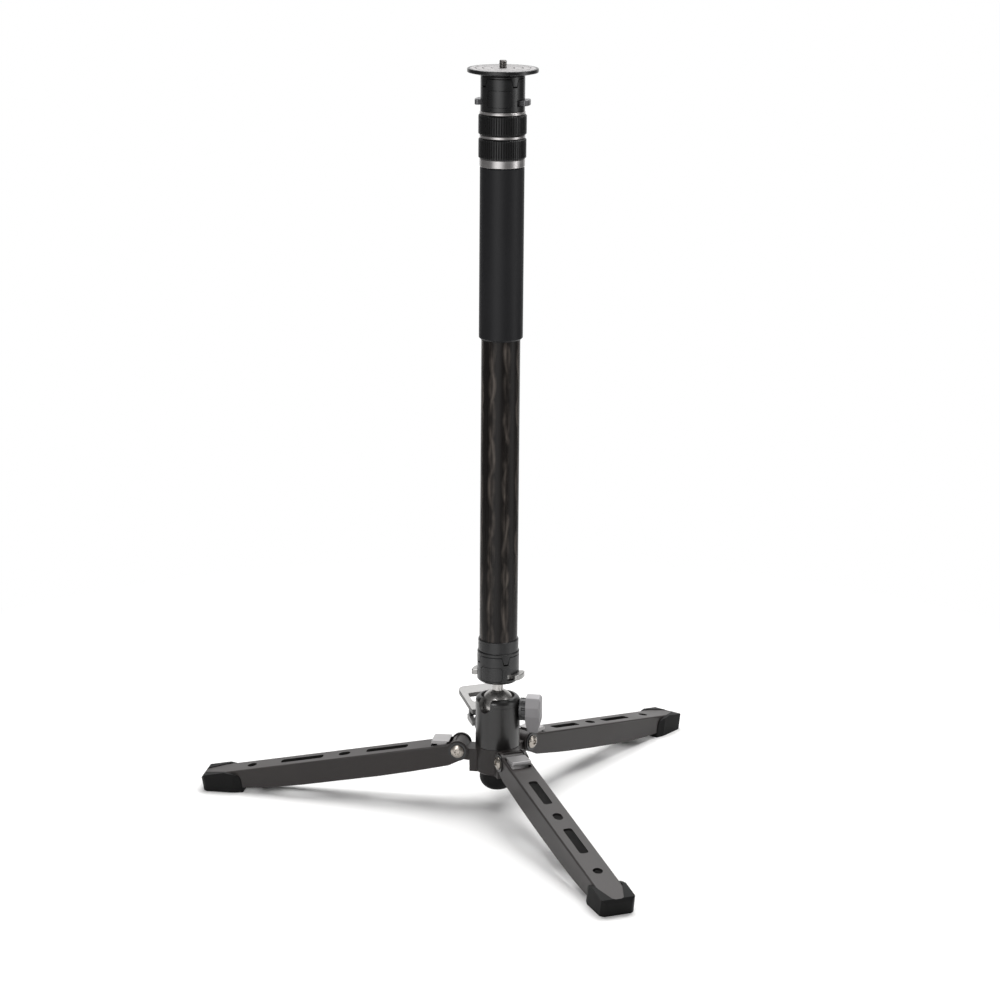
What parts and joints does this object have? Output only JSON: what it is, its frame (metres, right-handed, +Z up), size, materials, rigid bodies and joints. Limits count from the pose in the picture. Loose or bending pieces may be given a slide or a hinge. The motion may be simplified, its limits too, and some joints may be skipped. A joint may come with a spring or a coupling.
{
  "type": "camera monopod",
  "caption": "Telescoping carbon camera monopod on a ball joint with a foot pedal and fold-out legs, topped by a round camera plate.",
  "frame": {"origin": "on the floor under the column's axis, midway between the three feet", "axes": "+Z up along the column towards the camera screw; +X towards the lock knob; the legs point 60, 180 and 300 degrees round from +X, the foot pedal 120 and the ball housing's drop notch 240"},
  "size_m": [0.4005, 0.4608, 0.6392],
  "materials": {
    "dark_aluminium": "matte dark grey anodised",
    "grey_aluminium": "matte mid grey anodised",
    "satin_aluminium": "satin, bright",
    "polished_steel": "polished",
    "steel": "bright steel",
    "carbon": "clear-coated woven carbon",
    "soft_rubber": "matte black",
    "hard_plastic": "matte black",
    "pad": "light grey, fine grooves"
  },
  "bodies": {
    "base": {"leg_hub": "dark_aluminium", "ball_housing": "dark_aluminium", "ball_seat": "hard_plastic", "seat_disc_springs": "steel", "lock_pad": "hard_plastic", "hub_bolt": "steel", "monopod_foot": "soft_rubber"},
    "lock": {"lock_knob": "grey_aluminium", "lock_stud": "dark_aluminium"},
    "pedal": {"pedal_plate": "satin_aluminium", "pedal_yoke": "dark_aluminium", "pedal_arms": "satin_aluminium", "pedal_pin": "steel"},
    "ball": {"ball_stem": "polished_steel"},
    "socket": {"base_coupling_housing": "dark_aluminium", "base_cover_panel": "dark_aluminium"},
    "base_release": {"base_release_ring": "satin_aluminium"},
    "column": {"column_crown": "dark_aluminium", "outer_tube": "carbon", "grip_sleeve": "soft_rubber", "outer_tube_fitting": "satin_aluminium", "lower_collet": "hard_plastic"},
    "lower_collar": {"lower_collar_nut": "dark_aluminium", "lower_collar_rubber": "soft_rubber"},
    "middle_section": {"middle_tube": "carbon", "middle_tube_guide": "hard_plastic", "middle_tube_fitting": "satin_aluminium", "upper_collet": "hard_plastic"},
    "upper_collar": {"upper_collar_nut": "dark_aluminium", "upper_collar_rubber": "soft_rubber"},
    "inner_section": {"inner_tube": "carbon", "inner_tube_guide": "hard_plastic", "top_end_ring": "satin_aluminium", "top_coupling_housing": "dark_aluminium", "top_cover_panel": "dark_aluminium"},
    "top_release": {"top_release_ring": "dark_aluminium"},
    "plate": {"plate_crown": "dark_aluminium", "camera_plate": "dark_aluminium", "plate_pad": "pad", "plate_screws": "steel"},
    "screw": {"camera_screw": "steel"},
    "leg_right": {"leg_right": "dark_aluminium", "rubber_foot_right": "soft_rubber", "latch_pin_right": "steel", "hinge_screws_right": "steel", "hinge_washers_right": "hard_plastic"},
    "latch_right": {"latch_right": "grey_aluminium"},
    "leg_left": {"leg_left": "dark_aluminium", "rubber_foot_left": "soft_rubber", "latch_pin_left": "steel", "hinge_screws_left": "steel", "hinge_washers_left": "hard_plastic"},
    "latch_left": {"latch_left": "grey_aluminium"},
    "leg_front": {"leg_front": "dark_aluminium", "rubber_foot_front": "soft_rubber", "latch_pin_front": "steel", "hinge_screws_front": "steel", "hinge_washers_front": "hard_plastic"},
    "latch_front": {"latch_front": "grey_aluminium"}
  },
  "joints": [
    {"name": "leg_right_fold", "type": "hinge", "parent": "base", "child": "leg_right", "pos_m": [0.0165, 0.02858, 0.0496], "axis": [-0.866, 0.5, 0], "range_deg": [-90, 0]},
    {"name": "leg_right_latch", "type": "hinge", "parent": "leg_right", "child": "latch_right", "pos_m": [0.02368, 0.04101, 0.05013], "axis": [0.866, -0.5, 0], "range_deg": [0, 12], "stiffness_Nm_per_rad": 0.3, "springref_deg": -11.46},
    {"name": "leg_left_fold", "type": "hinge", "parent": "base", "child": "leg_left", "pos_m": [-0.033, 0, 0.0496], "axis": [0, -1, 0], "range_deg": [-90, 0]},
    {"name": "leg_left_latch", "type": "hinge", "parent": "leg_left", "child": "latch_left", "pos_m": [-0.04735, 0, 0.05013], "axis": [0, 1, 0], "range_deg": [0, 12], "stiffness_Nm_per_rad": 0.3, "springref_deg": -11.46},
    {"name": "leg_front_fold", "type": "hinge", "parent": "base", "child": "leg_front", "pos_m": [0.0165, -0.02858, 0.0496], "axis": [0.866, 0.5, 0], "range_deg": [-90, 0]},
    {"name": "leg_front_latch", "type": "hinge", "parent": "leg_front", "child": "latch_front", "pos_m": [0.02368, -0.04101, 0.05013], "axis": [-0.866, -0.5, 0], "range_deg": [0, 12], "stiffness_Nm_per_rad": 0.3, "springref_deg": -11.46},
    {"name": "lock_knob_turn", "type": "hinge", "parent": "base", "child": "lock", "pos_m": [0.03, 0, 0.087], "axis": [1, 0, 0], "range_deg": [0, 150]},
    {"name": "pedal_press", "type": "hinge", "parent": "base", "child": "pedal", "pos_m": [-0.0091, 0.01576, 0.0698], "axis": [-0.866, -0.5, 0], "range_deg": [0, 15], "stiffness_Nm_per_rad": 2, "springref_deg": -11.46},
    {"name": "ball_tilt", "type": "hinge", "parent": "base", "child": "ball", "pos_m": [0, 0, 0.09], "axis": [0.866, -0.5, 0], "range_deg": [-15, 80]},
    {"name": "column_pan", "type": "hinge", "parent": "ball", "child": "socket", "pos_m": [0, 0, 0.115], "axis": [0, 0, 1], "continuous": true},
    {"name": "base_release_turn", "type": "hinge", "parent": "socket", "child": "base_release", "pos_m": [0, 0, 0.1189], "axis": [0, 0, -1], "range_deg": [0, 15], "stiffness_Nm_per_rad": 0.3, "springref_deg": -11.46},
    {"name": "column_lift", "type": "slide", "parent": "socket", "child": "column", "axis": [0, 0, 1], "range_m": [0, 0.03]},
    {"name": "lower_collar_turn", "type": "hinge", "parent": "column", "child": "lower_collar", "pos_m": [0, 0, 0.568], "axis": [0, 0, 1], "range_deg": [0, 90]},
    {"name": "middle_slide", "type": "slide", "parent": "column", "child": "middle_section", "axis": [0, 0, 1], "range_m": [0, 0.36]},
    {"name": "upper_collar_turn", "type": "hinge", "parent": "middle_section", "child": "upper_collar", "pos_m": [0, 0, 0.5876], "axis": [0, 0, 1], "range_deg": [0, 90]},
    {"name": "inner_slide", "type": "slide", "parent": "middle_section", "child": "inner_section", "axis": [0, 0, 1], "range_m": [0, 0.36]},
    {"name": "top_release_turn", "type": "hinge", "parent": "inner_section", "child": "top_release", "pos_m": [0, 0, 0.6057], "axis": [0, 0, -1], "range_deg": [0, 15], "stiffness_Nm_per_rad": 0.3, "springref_deg": -11.46},
    {"name": "plate_lift", "type": "slide", "parent": "inner_section", "child": "plate", "axis": [0, 0, 1], "range_m": [0, 0.03]},
    {"name": "camera_screw_turn", "type": "hinge", "parent": "plate", "child": "screw", "pos_m": [0, 0, 0.63], "axis": [0, 0, 1], "continuous": true}
  ]
}
